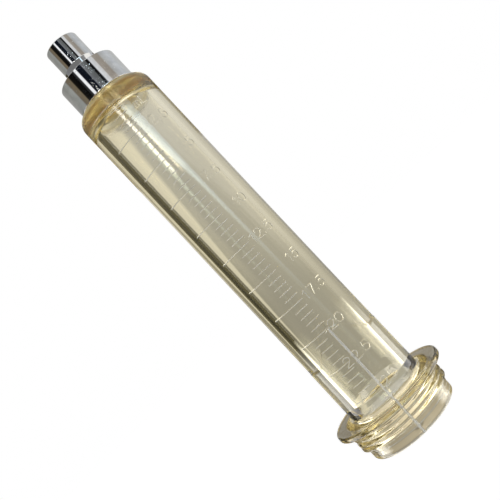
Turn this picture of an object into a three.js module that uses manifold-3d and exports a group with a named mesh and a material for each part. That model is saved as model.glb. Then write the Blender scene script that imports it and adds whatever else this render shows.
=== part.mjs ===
// Graduated 25 mL clear barrel with a chromed Luer-lock nozzle.
//
// Millimetres, +Z up. The barrel stands on the flat ring of its open mouth:
// the origin is the centre of that ring, and +Z runs along the barrel's axis
// to the nozzle. The moulded volume scale faces -Y.
//
// Five separate pieces:
//   barrel        one clear moulding: tube, end wall, threaded spigot,
//                 flange, external thread and plain lip
//   nozzle_seal   flat washer on the spigot, inside the hub
//   nozzle_hub    chromed cup that screws down over the spigot
//   luer_cone     turned stem with the male taper, seated in the hub
//   lock_collar   chromed sleeve that swivels round the cone

import * as THREE from 'three';
import { mergeVertices } from 'three/addons/utils/BufferGeometryUtils.js';
import Module from 'manifold-3d';

const wasm = await Module();
wasm.setup();

// ---------------------------------------------------------------- dimensions
const SEG = 56;              // facets round the axis

// barrel tube. 25 mL between the 0 and 25 lines: pi/4 * 17.7^2 * 101.8 = 25.0 cm3
const BORE_R = 8.85;         // 17.7 mm bore
const BORE_END_Z = 119.0;    // inside of the end wall
const BORE_END_ROUND = 3.0;  // corner radius inside the end wall
// outside of the tube, radius at height: a slight draft both ways from the middle
const TUBE_OUTSIDE = [
  [11.7, 12.02], [17.6, 11.97], [47.0, 11.83], [80.0, 11.76], [120.3, 11.80],
];
const FRONT_FACE_Z = 123.4;  // flat face under the hub
const SHOULDER_R = 3.1;      // rounded shoulder

// spigot that carries the hub
const SPIGOT_R = 6.0;
const SPIGOT_TOP_Z = 128.9;
const SPIGOT_CHAMFER = 0.5;
const PASSAGE_R = 1.5;       // liquid passage

// mouth end
const LIP_R = 14.5;
const LIP_EDGE = 0.45;
const THREAD_ROOT_R = 14.6;
const THREAD_CREST_R = 15.75;
const THREAD_PITCH = 1.67;
const THREAD_TURNS = 3.25;
const THREAD_START_Z = 3.6; // centre of the first turn
const THREAD_ROOT_W = 1.45;
const THREAD_CREST_W = 0.5;
const THREAD_FADE = 0.16;    // of a turn, at each end
const FLANGE_R = 18.5;
const FLANGE_LOW_Z = 9.9;
const FLANGE_TOP_Z = 11.7;
const FLANGE_EDGE = 0.45;
const FILLET_R = 0.9;        // tube to flange
const MOUTH_R = 12.4;        // counterbore
const MOUTH_DEPTH_Z = 9.0;
const LEAD_IN_Z = 14.8;      // top of the cone from the counterbore to the bore

// nozzle
const GAP = 0.3;             // between touching pieces
const HUB_R = 9.15;
const HUB_LOW_Z = FRONT_FACE_Z + GAP;
const HUB_TOP_Z = 132.6;
const HUB_BORE_R = SPIGOT_R + GAP;
const HUB_WALL_Z = 130.6;    // inside of the hub's end wall
const HUB_HOLE_R = 2.9;
const HUB_EDGE = 0.3;

const SEAL_LOW_Z = SPIGOT_TOP_Z + GAP;
const SEAL_TOP_Z = HUB_WALL_Z - GAP;
const SEAL_OUT_R = 5.9;
const SEAL_IN_R = 1.8;

const CONE_STEM_R = 2.6;
const CONE_LOW_Z = HUB_WALL_Z;
const CONE_COLLAR_R = 3.3;   // shoulder that keeps the lock collar on
const CONE_COLLAR_Z = [134.4, 135.2];
const CONE_BASE_R = 2.21;    // 6 % male taper
const CONE_TIP_R = 1.99;
const CONE_TIP_Z = 142.8;
const CONE_BORE_R = 1.1;

const COLLAR_R = 5.1;
const COLLAR_LOW_Z = HUB_TOP_Z + GAP;
const COLLAR_TOP_Z = 143.4;
const COLLAR_FOOT_R = 4.6;   // the foot tapers in to the hub
const COLLAR_FOOT_H = 1.6;
const COLLAR_BORE_R = 3.65;
const COLLAR_LIP_R = 2.95;   // inward lip, caught under the cone's shoulder
const COLLAR_LIP_TOP_Z = 134.1;
const COLLAR_EDGE = 0.3;

// ------------------------------------------------------------------- helpers
function solidOf(geometry) {
  let g = geometry.clone();
  g.deleteAttribute('normal');
  g.deleteAttribute('uv');
  g = mergeVertices(g, 1e-4);
  const vertProperties = new Float32Array(g.getAttribute('position').array);
  let triVerts = new Uint32Array(g.getIndex().array);
  // drop triangles that merging has closed to a line
  const keep = [];
  for (let i = 0; i < triVerts.length; i += 3) {
    const [a, b, c] = [triVerts[i], triVerts[i + 1], triVerts[i + 2]];
    if (a !== b && b !== c && c !== a) keep.push(a, b, c);
  }
  // turn the faces outward if the volume comes out negative
  let v = 0;
  const P = (i) => new THREE.Vector3().fromArray(vertProperties, i * 3);
  for (let i = 0; i < keep.length; i += 3) {
    v += P(keep[i]).dot(P(keep[i + 1]).cross(P(keep[i + 2])));
  }
  if (v < 0) {
    for (let i = 0; i < keep.length; i += 3) {
      [keep[i + 1], keep[i + 2]] = [keep[i + 2], keep[i + 1]];
    }
  }
  return new wasm.Manifold(new wasm.Mesh({
    numProp: 3, vertProperties, triVerts: new Uint32Array(keep),
  }));
}

function geometryOf(solid) {
  const m = solid.getMesh();
  const g = new THREE.BufferGeometry();
  g.setAttribute('position', new THREE.BufferAttribute(new Float32Array(m.vertProperties), 3));
  g.setIndex(new THREE.BufferAttribute(new Uint32Array(m.triVerts), 1));
  g.computeVertexNormals();
  return g;
}

// a closed profile of [radius, height] turned about Z
function turned(profile, seg = SEG) {
  const pts = profile.map(([r, z]) => new THREE.Vector2(r, z));
  pts.push(pts[0].clone());
  const g = new THREE.LatheGeometry(pts, seg);
  g.rotateX(Math.PI / 2);
  return solidOf(g);
}

// points on a circular arc in the (radius, height) plane, degrees
function arc(cr, cz, r, from, to, n) {
  const out = [];
  for (let i = 0; i <= n; i++) {
    const a = THREE.MathUtils.degToRad(from + (to - from) * i / n);
    out.push([cr + r * Math.cos(a), cz + r * Math.sin(a)]);
  }
  return out;
}

// a right-hand trapezoidal thread rib, fading into the root at both ends
function threadRib() {
  const perTurn = 40;
  const n = Math.round(perTurn * THREAD_TURNS);
  const inR = THREAD_ROOT_R - 0.5;
  const pos = [];
  const idx = [];
  for (let i = 0; i <= n; i++) {
    const t = i / perTurn;
    const fade = Math.min(1, t / THREAD_FADE, (THREAD_TURNS - t) / THREAD_FADE);
    const k = Math.max(0.06, fade);
    const crest = THREAD_ROOT_R + (THREAD_CREST_R - THREAD_ROOT_R) * k;
    const zc = THREAD_START_Z + t * THREAD_PITCH;
    const a = 2 * Math.PI * t + 0.6;
    const ring = [
      [inR, zc - THREAD_ROOT_W / 2], [crest, zc - THREAD_CREST_W / 2],
      [crest, zc + THREAD_CREST_W / 2], [inR, zc + THREAD_ROOT_W / 2],
    ];
    for (const [r, z] of ring) pos.push(r * Math.cos(a), r * Math.sin(a), z);
  }
  for (let i = 0; i < n; i++) {
    for (let j = 0; j < 4; j++) {
      const a = i * 4 + j, b = i * 4 + (j + 1) % 4;
      const c = a + 4, d = b + 4;
      idx.push(a, c, b, b, c, d);
    }
  }
  idx.push(0, 1, 2, 0, 2, 3);
  const e = n * 4;
  idx.push(e, e + 2, e + 1, e, e + 3, e + 2);
  const g = new THREE.BufferGeometry();
  g.setAttribute('position', new THREE.Float32BufferAttribute(pos, 3));
  g.setIndex(idx);
  return solidOf(g);
}

// -------------------------------------------------------------------- barrel
function barrelSolid() {
  const p = [];
  // mouth ring and lip, outside, going up
  p.push([MOUTH_R + 0.2, 0], [LIP_R - LIP_EDGE, 0]);
  p.push(...arc(LIP_R - LIP_EDGE, LIP_EDGE, LIP_EDGE, -45, 0, 1));
  p.push([LIP_R, 2.75], [THREAD_ROOT_R, 2.9], [THREAD_ROOT_R, FLANGE_LOW_Z]);
  // flange
  p.push([FLANGE_R - FLANGE_EDGE, FLANGE_LOW_Z]);
  p.push(...arc(FLANGE_R - FLANGE_EDGE, FLANGE_LOW_Z + FLANGE_EDGE, FLANGE_EDGE, -45, 0, 1));
  p.push(...arc(FLANGE_R - FLANGE_EDGE, FLANGE_TOP_Z - FLANGE_EDGE, FLANGE_EDGE, 0, 45, 1));
  p.push([FLANGE_R - FLANGE_EDGE, FLANGE_TOP_Z]);
  // fillet up to the tube
  const tubeR = TUBE_OUTSIDE[0][1];
  p.push(...arc(tubeR + FILLET_R, FLANGE_TOP_Z + FILLET_R, FILLET_R, 270, 180, 3));
  for (const [z, r] of TUBE_OUTSIDE.slice(1)) p.push([r, z]);
  // shoulder
  const [endZ, endR] = TUBE_OUTSIDE[TUBE_OUTSIDE.length - 1];
  p.push(...arc(endR - SHOULDER_R, endZ, SHOULDER_R, 18, 90, 4));
  // spigot
  p.push([SPIGOT_R, FRONT_FACE_Z]);
  p.push([SPIGOT_R, SPIGOT_TOP_Z - SPIGOT_CHAMFER], [SPIGOT_R - SPIGOT_CHAMFER, SPIGOT_TOP_Z]);
  // passage down into the bore
  p.push([PASSAGE_R, SPIGOT_TOP_Z], [PASSAGE_R, BORE_END_Z]);
  p.push(...arc(BORE_R - BORE_END_ROUND, BORE_END_Z - BORE_END_ROUND, BORE_END_ROUND, 90, 0, 4));
  // bore, lead-in cone, counterbore
  p.push([BORE_R, LEAD_IN_Z], [MOUTH_R, MOUTH_DEPTH_Z], [MOUTH_R, 0.2]);
  return turned(p).add(threadRib());
}

// -------------------------------------------------------------------- nozzle
function hubSolid() {
  return turned([
    [HUB_BORE_R, HUB_LOW_Z], [HUB_R - 0.15, HUB_LOW_Z], [HUB_R, HUB_LOW_Z + 0.15],
    [HUB_R, HUB_TOP_Z - HUB_EDGE], [HUB_R - HUB_EDGE, HUB_TOP_Z],
    [HUB_HOLE_R, HUB_TOP_Z], [HUB_HOLE_R, HUB_WALL_Z], [HUB_BORE_R, HUB_WALL_Z],
  ], 48);
}

function sealSolid() {
  return turned([
    [SEAL_IN_R, SEAL_LOW_Z], [SEAL_OUT_R - 0.1, SEAL_LOW_Z], [SEAL_OUT_R, SEAL_LOW_Z + 0.1],
    [SEAL_OUT_R, SEAL_TOP_Z - 0.1], [SEAL_OUT_R - 0.1, SEAL_TOP_Z], [SEAL_IN_R, SEAL_TOP_Z],
  ], 36);
}

function coneSolid() {
  return turned([
    [CONE_BORE_R, CONE_LOW_Z], [CONE_STEM_R, CONE_LOW_Z], [CONE_STEM_R, CONE_COLLAR_Z[0]],
    [CONE_COLLAR_R, CONE_COLLAR_Z[0]], [CONE_COLLAR_R, CONE_COLLAR_Z[1]],
    [CONE_BASE_R, CONE_COLLAR_Z[1]], [CONE_TIP_R + 0.006, CONE_TIP_Z - 0.2],
    [CONE_TIP_R - 0.2, CONE_TIP_Z], [CONE_BORE_R, CONE_TIP_Z],
  ], 36);
}

function collarSolid() {
  return turned([
    [COLLAR_LIP_R, COLLAR_LOW_Z], [COLLAR_FOOT_R, COLLAR_LOW_Z],
    [COLLAR_R - 0.12, COLLAR_LOW_Z + COLLAR_FOOT_H * 0.7],
    [COLLAR_R, COLLAR_LOW_Z + COLLAR_FOOT_H],
    [COLLAR_R, COLLAR_TOP_Z - COLLAR_EDGE], [COLLAR_R - COLLAR_EDGE, COLLAR_TOP_Z],
    [COLLAR_BORE_R + 0.35, COLLAR_TOP_Z], [COLLAR_BORE_R, COLLAR_TOP_Z - 0.45],
    [COLLAR_BORE_R, COLLAR_LIP_TOP_Z], [COLLAR_LIP_R, COLLAR_LIP_TOP_Z],
  ], 40);
}

// ----------------------------------------------------------------- materials
const clearPolymer = new THREE.MeshStandardMaterial({
  color: 0xd8cfae, roughness: 0.08, metalness: 0.0, transparent: true, opacity: 0.45,
});
const chrome = new THREE.MeshStandardMaterial({ color: 0xc9ccd0, roughness: 0.06, metalness: 1.0 });
const turnedSteel = new THREE.MeshStandardMaterial({ color: 0xb4b6b8, roughness: 0.25, metalness: 1.0 });
const sealRubber = new THREE.MeshStandardMaterial({ color: 0x26241f, roughness: 0.7, metalness: 0.0 });

function piece(name, solid, material) {
  const mesh = new THREE.Mesh(geometryOf(solid), material);
  mesh.name = name;
  return mesh;
}

// ------------------------------------------------------------------ assembly
const sampler = new THREE.Group();
sampler.add(piece('barrel', barrelSolid(), clearPolymer));

const nozzle = new THREE.Group();
nozzle.add(piece('nozzle_seal', sealSolid(), sealRubber));
nozzle.add(piece('nozzle_hub', hubSolid(), chrome));
nozzle.add(piece('luer_cone', coneSolid(), turnedSteel));
nozzle.add(piece('lock_collar', collarSolid(), chrome));
sampler.add(nozzle);

export default sampler;
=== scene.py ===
"""Studio picture of a graduated clear barrel with a chromed two-step nozzle."""

import math

import bpy
import numpy as np
from mathutils import Matrix, Vector
from mathutils.geometry import delaunay_2d_cdt
from mathutils.kdtree import KDTree

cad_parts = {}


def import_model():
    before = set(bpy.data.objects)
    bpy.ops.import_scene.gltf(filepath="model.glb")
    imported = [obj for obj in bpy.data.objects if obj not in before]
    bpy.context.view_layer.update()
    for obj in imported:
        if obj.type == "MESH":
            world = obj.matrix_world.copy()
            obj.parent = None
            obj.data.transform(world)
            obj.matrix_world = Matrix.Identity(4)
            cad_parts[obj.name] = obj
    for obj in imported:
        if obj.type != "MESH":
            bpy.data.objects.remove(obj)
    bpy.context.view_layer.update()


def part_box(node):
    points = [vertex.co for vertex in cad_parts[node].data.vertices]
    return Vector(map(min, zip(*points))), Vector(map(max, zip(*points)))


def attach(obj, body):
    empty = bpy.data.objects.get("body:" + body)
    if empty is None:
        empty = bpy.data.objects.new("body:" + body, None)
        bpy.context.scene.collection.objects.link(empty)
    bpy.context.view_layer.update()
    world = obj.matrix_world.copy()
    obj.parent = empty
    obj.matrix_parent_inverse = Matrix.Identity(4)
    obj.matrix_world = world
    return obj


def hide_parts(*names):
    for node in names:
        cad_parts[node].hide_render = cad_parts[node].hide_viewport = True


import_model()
scene = bpy.context.scene

MM = 0.001
PI = math.pi

# ------------------------------------------------------------ positions from the CAD
barrel_lo, barrel_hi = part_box("barrel")
hub_lo, hub_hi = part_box("nozzle_hub")
collar_lo, collar_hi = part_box("lock_collar")
cone_lo, cone_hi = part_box("luer_cone")
seal_lo, seal_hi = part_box("nozzle_seal")
SPIGOT_TOP = barrel_hi[2] / MM          # mm
FLANGE_R = barrel_hi[0] / MM
HUB_Z0, HUB_Z1 = hub_lo[2] / MM, hub_hi[2] / MM
HUB_R = hub_hi[0] / MM
COL_Z0, COL_Z1 = collar_lo[2] / MM, collar_hi[2] / MM
COL_R = collar_hi[0] / MM
CONE_Z0, CONE_Z1 = cone_lo[2] / MM, cone_hi[2] / MM
SEAL_Z0, SEAL_Z1 = seal_lo[2] / MM, seal_hi[2] / MM
SEAL_R = seal_hi[0] / MM


# ------------------------------------------------------------------------ node helpers
def new_material(name):
    m = bpy.data.materials.new(name)
    m.use_nodes = True
    nt = m.node_tree
    nt.nodes.clear()
    return m, nt


def node(nt, kind, **kw):
    n = nt.nodes.new(kind)
    for k, v in kw.items():
        setattr(n, k, v)
    return n


def math_node(nt, op, a, b=None, clamp=False):
    n = nt.nodes.new("ShaderNodeMath")
    n.operation = op
    n.use_clamp = clamp
    for i, s in enumerate((a, b)):
        if s is None:
            continue
        if isinstance(s, (int, float)):
            n.inputs[i].default_value = s
        else:
            nt.links.new(s, n.inputs[i])
    return n.outputs[0]


def map_range(nt, value, a, b, c, d, mode="SMOOTHSTEP"):
    n = nt.nodes.new("ShaderNodeMapRange")
    n.interpolation_type = mode
    nt.links.new(value, n.inputs["Value"])
    for key, v in (("From Min", a), ("From Max", b), ("To Min", c), ("To Max", d)):
        n.inputs[key].default_value = v
    return n.outputs["Result"]


def object_coords(nt, scale=(1, 1, 1)):
    tc = nt.nodes.new("ShaderNodeTexCoord")
    mp = nt.nodes.new("ShaderNodeMapping")
    mp.inputs["Scale"].default_value = scale
    nt.links.new(tc.outputs["Object"], mp.inputs["Vector"])
    return mp.outputs["Vector"]


def noise(nt, vector, scale, detail=3.0, rough=0.5, distortion=0.0):
    n = nt.nodes.new("ShaderNodeTexNoise")
    n.inputs["Scale"].default_value = scale
    n.inputs["Detail"].default_value = detail
    n.inputs["Roughness"].default_value = rough
    n.inputs["Distortion"].default_value = distortion
    nt.links.new(vector, n.inputs["Vector"])
    return n.outputs["Fac"]


def bump(nt, height, distance, strength=1.0, normal=None):
    b = nt.nodes.new("ShaderNodeBump")
    b.inputs["Distance"].default_value = distance
    b.inputs["Strength"].default_value = strength
    nt.links.new(height, b.inputs["Height"])
    if normal is not None:
        nt.links.new(normal, b.inputs["Normal"])
    return b.outputs["Normal"]


def ramp(nt, fac, stops, interp="LINEAR"):
    r = nt.nodes.new("ShaderNodeValToRGB")
    r.color_ramp.interpolation = interp
    els = r.color_ramp.elements
    while len(els) > 1:
        els.remove(els[-1])
    els[0].position = stops[0][0]
    els[0].color = (*stops[0][1], 1)
    for p, c in stops[1:]:
        e = els.new(p)
        e.color = (*c, 1)
    nt.links.new(fac, r.inputs["Fac"])
    return r.outputs["Color"]


# --------------------------------------------------------------------------- materials
def clear_polymer():
    """Straw-tinted hard clear moulding: tinted in depth, very slightly wavy along its length, a few handling scuffs."""
    m, nt = new_material("clear_straw_polymer")
    out = node(nt, "ShaderNodeOutputMaterial")
    p = node(nt, "ShaderNodeBsdfPrincipled")
    p.inputs["Base Color"].default_value = (0.985, 0.978, 0.945, 1)
    p.inputs["Transmission Weight"].default_value = 1.0
    p.inputs["IOR"].default_value = 1.52
    # painted highlight: the raised strokes and the parting line are made whiter and less clear, standing in for the
    # glints along their edges
    painted_glint = node(nt, "ShaderNodeAttribute", attribute_name="painted_glint")
    nt.links.new(math_node(nt, "SUBTRACT", 1.0, math_node(nt, "MULTIPLY", painted_glint.outputs["Fac"], 0.8)), p.inputs["Transmission Weight"])
    # roughness: glossy, with faint scuffed patches
    c = object_coords(nt, (1, 1, 0.35))
    scuff = noise(nt, c, 160.0, 4.0, 0.6)
    # the turned-off end, with the shoulder and the spigot, is matt
    height = node(nt, "ShaderNodeSeparateXYZ")
    nt.links.new(object_coords(nt), height.inputs[0])
    matt = map_range(nt, height.outputs["Z"], 0.1150, 0.1190, 0.0, 0.30)
    nt.links.new(math_node(nt, "ADD", map_range(nt, scuff, 0.50, 0.80, 0.0, 0.03), matt), p.inputs["Roughness"])
    # waviness drawn out along the axis, as a moulded tube has
    along = object_coords(nt, (1, 1, 0.10))
    wav = noise(nt, along, 150.0, 2.0, 0.45, 0.3)
    wide = noise(nt, along, 45.0, 1.0, 0.4)
    both = math_node(nt, "ADD", math_node(nt, "MULTIPLY", wav, 0.35), wide)
    n1 = bump(nt, both, 0.00003, 1.0)
    fine = noise(nt, object_coords(nt, (1, 1, 0.5)), 900.0, 3.0, 0.6)
    n2 = bump(nt, fine, 0.0000022, 1.0, n1)
    nt.links.new(n2, p.inputs["Normal"])
    nt.links.new(p.outputs["BSDF"], out.inputs["Surface"])
    va = node(nt, "ShaderNodeVolumeAbsorption")
    va.inputs["Color"].default_value = (0.90, 0.82, 0.47, 1)
    va.inputs["Density"].default_value = 100.0
    nt.links.new(va.outputs["Volume"], out.inputs["Volume"])
    return m


def chrome():
    """Bright polished plate: fine polishing lines, pin-prick specks and faint smudges."""
    m, nt = new_material("polished_chrome")
    out = node(nt, "ShaderNodeOutputMaterial")
    p = node(nt, "ShaderNodeBsdfPrincipled")
    p.inputs["Metallic"].default_value = 1.0
    base = object_coords(nt)
    smudge = noise(nt, base, 420.0, 4.0, 0.6, 0.4)
    nt.links.new(
        ramp(nt, smudge, [(0.35, (0.60, 0.61, 0.625)), (0.62, (0.70, 0.71, 0.72))]),
        p.inputs["Base Color"],
    )
    lines = noise(nt, object_coords(nt, (0.12, 0.12, 9.0)), 900.0, 3.0, 0.6)
    rough = math_node(nt, "ADD", map_range(nt, smudge, 0.4, 0.75, 0.02, 0.075), math_node(nt, "MULTIPLY", lines, 0.02))
    nt.links.new(rough, p.inputs["Roughness"])
    # small pits in the plate
    v = node(nt, "ShaderNodeTexVoronoi")
    v.inputs["Scale"].default_value = 1400.0
    nt.links.new(base, v.inputs["Vector"])
    pick = noise(nt, base, 500.0, 1.0, 0.5)
    speck = math_node(
        nt, "MULTIPLY",
        map_range(nt, v.outputs["Distance"], 0.10, 0.22, 1.0, 0.0),
        map_range(nt, pick, 0.62, 0.70, 0.0, 1.0),
    )
    n1 = bump(nt, math_node(nt, "MULTIPLY", speck, -1.0), 0.00002, 1.0)
    n2 = bump(nt, lines, 0.0000006, 1.0, n1)
    nt.links.new(n2, p.inputs["Normal"])
    nt.links.new(p.outputs["BSDF"], out.inputs["Surface"])
    return m


def turned_steel():
    m, nt = new_material("turned_steel")
    out = node(nt, "ShaderNodeOutputMaterial")
    p = node(nt, "ShaderNodeBsdfPrincipled")
    p.inputs["Metallic"].default_value = 1.0
    c = object_coords(nt, (0.05, 0.05, 6.0))
    rings = noise(nt, c, 1500.0, 4.0, 0.65)
    nt.links.new(ramp(nt, rings, [(0.3, (0.40, 0.40, 0.41)), (0.7, (0.58, 0.58, 0.58))]), p.inputs["Base Color"])
    nt.links.new(map_range(nt, rings, 0.3, 0.7, 0.16, 0.30), p.inputs["Roughness"])
    nt.links.new(bump(nt, rings, 0.000004), p.inputs["Normal"])
    nt.links.new(p.outputs["BSDF"], out.inputs["Surface"])
    return m


def seal_rubber():
    m, nt = new_material("seal_rubber")
    out = node(nt, "ShaderNodeOutputMaterial")
    p = node(nt, "ShaderNodeBsdfPrincipled")
    c = object_coords(nt)
    g = noise(nt, c, 2500.0, 4.0, 0.6)
    nt.links.new(ramp(nt, g, [(0.3, (0.46, 0.37, 0.24)), (0.7, (0.58, 0.48, 0.33))]), p.inputs["Base Color"])
    nt.links.new(map_range(nt, g, 0.3, 0.7, 0.55, 0.8), p.inputs["Roughness"])
    nt.links.new(bump(nt, g, 0.00001), p.inputs["Normal"])
    nt.links.new(p.outputs["BSDF"], out.inputs["Surface"])
    return m


MAT_CLEAR = clear_polymer()
MAT_CHROME = chrome()
MAT_STEEL = turned_steel()
MAT_SEAL = seal_rubber()


# ------------------------------------------------------------------------ mesh helpers
def smoothstep(a, b, x):
    t = np.clip((x - a) / (b - a), 0.0, 1.0)
    return t * t * (3 - 2 * t)


def arc(cr, cz, r, a0, a1, n):
    a = np.radians(np.linspace(a0, a1, n + 1))
    return [(cr + r * math.cos(t), cz + r * math.sin(t)) for t in a]


def point(r, z, beta):
    """beta is measured round the axis from -Y towards -X."""
    return np.stack([-r * np.sin(beta), -r * np.cos(beta), z], axis=-1)


def face_arrays(faces):
    """Faces as (k, 3) and (k, 4) index arrays."""
    tri = np.array([f for f in faces if len(f) == 3], dtype=int).reshape(-1, 3)
    quad = np.array([f for f in faces if len(f) == 4], dtype=int).reshape(-1, 4)
    return tri, quad


def signed_volume(P, faces):
    tri, quad = face_arrays(faces)
    t = np.concatenate([tri, quad[:, [0, 1, 2]], quad[:, [0, 2, 3]]])
    return float(np.einsum("ij,ij->", P[t[:, 0]], np.cross(P[t[:, 1]], P[t[:, 2]])))


def finish_mesh(name, verts, faces, material, body, node_name, normals=None, painted_glint=None):
    verts = np.asarray(verts, dtype=float) * MM
    if signed_volume(verts, faces) < 0:
        faces = [tuple(reversed(f)) for f in faces]
    me = bpy.data.meshes.new(name)
    me.from_pydata(verts.tolist(), [], faces)
    me.validate()
    me.update()
    me.shade_smooth()
    # the painted highlight of the strokes and the parting line is stored as a mesh attribute
    if painted_glint is not None:
        me.attributes.new("painted_glint", "FLOAT", "POINT").data.foreach_set("value", np.asarray(painted_glint, dtype=np.float32))
    if normals is not None:
        me.normals_split_custom_set_from_vertices(np.asarray(normals).tolist())
    ob = bpy.data.objects.new(name, me)
    scene.collection.objects.link(ob)
    me.materials.append(material)
    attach(ob, body)
    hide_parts(node_name)
    return ob


def rounded(profile, radius_at, n=4):
    """A closed (r, z) outline with chosen corners rounded. radius_at maps index to radius."""
    out = []
    k = len(profile)
    for i, p in enumerate(profile):
        p = np.array(p, float)
        rad = radius_at.get(i, radius_at.get("all", 0.0))
        if rad <= 0:
            out.append(tuple(p))
            continue
        a = np.array(profile[i - 1], float) - p
        b = np.array(profile[(i + 1) % k], float) - p
        la, lb = np.linalg.norm(a), np.linalg.norm(b)
        a, b = a / la, b / lb
        ang = math.acos(max(-1, min(1, float(np.dot(a, b)))))
        if ang > PI - 0.05:
            out.append(tuple(p))
            continue
        d = min(rad / math.tan(ang / 2), 0.45 * la, 0.45 * lb)
        rr = d * math.tan(ang / 2)
        bis = (a + b) / np.linalg.norm(a + b)
        c = p + bis * (rr / math.sin(ang / 2))
        s, e = p + a * d - c, p + b * d - c
        for j in range(n + 1):
            t = j / n
            v = s * (1 - t) + e * t
            v = v / np.linalg.norm(v) * rr
            out.append(tuple(c + v))
    return out


def lathe(rows, cols):
    """rows: list of (r, z), each a number or an array over cols; closed both ways."""
    nr, nc = len(rows), len(cols)
    verts = []
    for r, z in rows:
        r = np.broadcast_to(np.asarray(r, float), (nc,))
        z = np.broadcast_to(np.asarray(z, float), (nc,))
        verts.append(point(r, z, cols))
    verts = np.concatenate(verts)
    faces = []
    for i in range(nr):
        i2 = (i + 1) % nr
        for j in range(nc):
            j2 = (j + 1) % nc
            faces.append((i * nc + j, i * nc + j2, i2 * nc + j2, i2 * nc + j))
    return verts, faces


# ------------------------------------------------------------------------- the barrel
BORE_R = 8.85
BORE_END_Z = 119.0
BORE_ROUND = 3.0
FRONT_Z = 123.4
SHOULDER = 3.1
LIP_R = 14.5
THREAD_ROOT = 14.6
THREAD_CREST = 15.75
PITCH = 1.67
FL_LO, FL_HI = 9.9, 11.7
FILLET = 1.0
MOUTH_R = 12.4
MOUTH_Z = 9.0
LEAD_Z = 14.8
SPIGOT_R = 6.0
PASSAGE_R = 1.5
SECTOR = math.radians(63.0)
PART_BETA = math.radians(-3.7)     # the mould's parting line
TUBE = np.array([(11.7, 12.02), (17.6, 11.97), (47.0, 11.83), (80.0, 11.76), (120.3, 11.80)])


def tube_r(z):
    return np.interp(z, TUBE[:, 0], TUBE[:, 1])


def arch_z(beta):
    """Where the split part of the mould ends: an arch that reaches highest on the parting line."""
    b = np.abs(np.angle(np.exp(1j * (beta - PART_BETA))))
    b = np.minimum(b, PI - b)      # the same on the back
    return 29.4 + 7.0 * np.clip(np.cos(np.minimum(b * 1.8, PI / 2)), 0, 1) ** 1.5


def parting(beta, r):
    """Distance in mm round the surface to the nearer parting line."""
    d1 = np.abs(np.angle(np.exp(1j * (beta - PART_BETA))))
    d2 = np.abs(np.angle(np.exp(1j * (beta - PART_BETA - PI))))
    return np.minimum(d1, d2) * r


def strip(beta, r):
    return 0.12 * (1 - smoothstep(0.24, 0.42, parting(beta, r)))


def body_relief(beta, z):
    """Height over the plain tube of the split mould's step and parting strip."""
    e = smoothstep(-0.35, 0.35, arch_z(beta) - z)
    return 0.09 * e + strip(beta, 11.9) * e


# scale strokes in (arc mm, z mm); arc is beta * 11.78
R_SC = 11.78
ZERO_Z, PER_ML = 118.3, 101.9 / 25.0
W_IN, W_OUT, H_TICK = 0.055, 0.175, 0.13

DIGITS = {  # strokes in a 1 wide, 1.3 high cell, y up
    "0": [[(.5, 1.3), (.78, 1.22), (.95, .95), (1, .65), (.95, .35), (.78, .08), (.5, 0), (.22, .08), (.05, .35), (0, .65), (.05, .95), (.22, 1.22), (.5, 1.3)]],
    "1": [[(.18, 1.02), (.36, 1.12), (.55, 1.3), (.55, 0)]],
    "2": [[(.04, .95), (.12, 1.17), (.32, 1.29), (.55, 1.3), (.8, 1.2), (.93, .98), (.86, .74), (.62, .5), (.3, .26), (.03, 0), (.97, 0)]],
    "5": [[(.9, 1.3), (.2, 1.3), (.12, .72), (.32, .83), (.55, .85), (.8, .74), (.96, .5), (.93, .24), (.76, .06), (.5, 0), (.24, .04), (.04, .2)]],
    "7": [[(.03, 1.3), (.97, 1.3), (.68, .8), (.5, .4), (.42, 0)]],
    ".": [[(.0, .0), (.0, .05)]],
    "m": [[(0, 0), (0, .8)], [(0, .55), (.12, .76), (.3, .8), (.44, .7), (.48, .5), (.48, 0)], [(.48, .5), (.6, .76), (.78, .8), (.92, .7), (.96, .5), (.96, 0)]],
    "L": [[(0, 1.3), (0, 0), (.8, 0)]],
}


def dense(poly, step):
    out = []
    for a, b in zip(poly[:-1], poly[1:]):
        a, b = np.array(a, float), np.array(b, float)
        n = max(1, int(math.ceil(np.linalg.norm(b - a) / step)))
        for i in range(n):
            out.append(a + (b - a) * i / n)
    out.append(np.array(poly[-1], float))
    return np.array(out)


def scale_strokes():
    strokes = []
    d = math.radians
    for i in range(0, 51):
        ml = i * 0.5
        z = ZERO_Z - ml * PER_ML
        late = z < 36.0
        b0, b1 = (d(-5.8), d(13.8)) if not late else (d(5.6), d(24.6))
        if i % 5 == 0:
            b1 = d(44.5)
        strokes.append(dense([(b0 * R_SC, z), (b1 * R_SC, z)], 0.42))
    # figures: reading from the lines towards +X, upright with the nozzle up
    size = 2.1
    for ml in (2.5, 5, 7.5, 10, 12.5, 15, 17.5, 20, 22.5, 25):
        z = ZERO_Z - ml * PER_ML
        text = ("%g" % ml)
        adv = {".": 0.55, "1": 1.05}
        width = sum(adv.get(ch, 1.28) for ch in text) * size - 0.28 * size
        right = d(-47.5 if ml < 19 else -30.0) * R_SC
        x = right + width                      # arc falls as the figures are read
        for ch in text:
            for st in DIGITS[ch]:
                pts = [(x - px * size, z + (py - 0.65) * size) for px, py in st]
                strokes.append(dense(pts, 0.2))
            x -= adv.get(ch, 1.28) * size
    # the unit, above the first figure
    x = d(-19.0) * R_SC
    z = ZERO_Z - 1.05 * PER_ML
    for ch, w in (("m", 1.25), ("L", 1.0)):
        for st in DIGITS[ch]:
            strokes.append(dense([(x - px * 1.9, z + (py - 0.5) * 1.9) for px, py in st], 0.2))
        x -= w * 1.9
    return strokes


STROKES = scale_strokes()


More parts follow.
